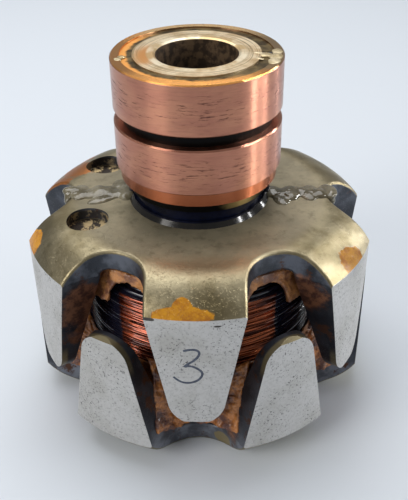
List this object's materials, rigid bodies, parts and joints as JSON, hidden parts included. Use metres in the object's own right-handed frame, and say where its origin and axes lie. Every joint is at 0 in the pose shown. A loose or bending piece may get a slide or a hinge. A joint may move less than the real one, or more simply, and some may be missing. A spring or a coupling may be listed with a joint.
{
  "type": "alternator rotor",
  "caption": "Claw-pole alternator rotor with interleaved fingers over a copper field winding, two slip rings on its nose and a tapered hub bore.",
  "frame": {"origin": "on the shaft axis in the rear claw's flat face, which the rotor stands on", "axes": "+Z along the shaft axis towards the slip rings, -Y towards the front finger, +X towards the right-hand lead groove"},
  "size_m": [0.073, 0.073, 0.0769],
  "materials": {
    "hub_steel": "turned, dull, gilded by age at the bore's mouth",
    "core_steel": "turned",
    "claw_steel": "forged and olive-gold passivated, with bare ground pole faces",
    "insulation_board": "varnished orange-brown board",
    "insulation_paper": "varnished brown paper",
    "bobbin_moulding": "dark moulding",
    "enamelled_copper": "dark glossy enamelled copper wire",
    "ring_copper": "satin copper worn by brushes",
    "carrier_moulding": "brown-olive moulding",
    "collar_moulding": "glossy near-black navy",
    "dark_varnish": "glossy black varnish",
    "amber_resin": "clear amber resin",
    "solder": "dull silver-gold solder"
  },
  "bodies": {
    "root": {"hub": "hub_steel", "pole_core": "core_steel", "upper_claw": "claw_steel", "lower_claw": "claw_steel", "upper_insulator": "insulation_board", "lower_insulator": "insulation_board", "bobbin": "bobbin_moulding", "field_winding": "enamelled_copper", "winding_wrap": "insulation_paper", "slip_ring_carrier": "carrier_moulding", "slip_ring_upper": "ring_copper", "slip_ring_lower": "ring_copper", "collar": "collar_moulding", "varnish_bead": "dark_varnish", "lead_left": "enamelled_copper", "lead_right": "enamelled_copper", "resin_left": "amber_resin", "resin_right": "amber_resin", "solder_joint": "solder", "solder_dab": "solder"}
  },
  "joints": []
}
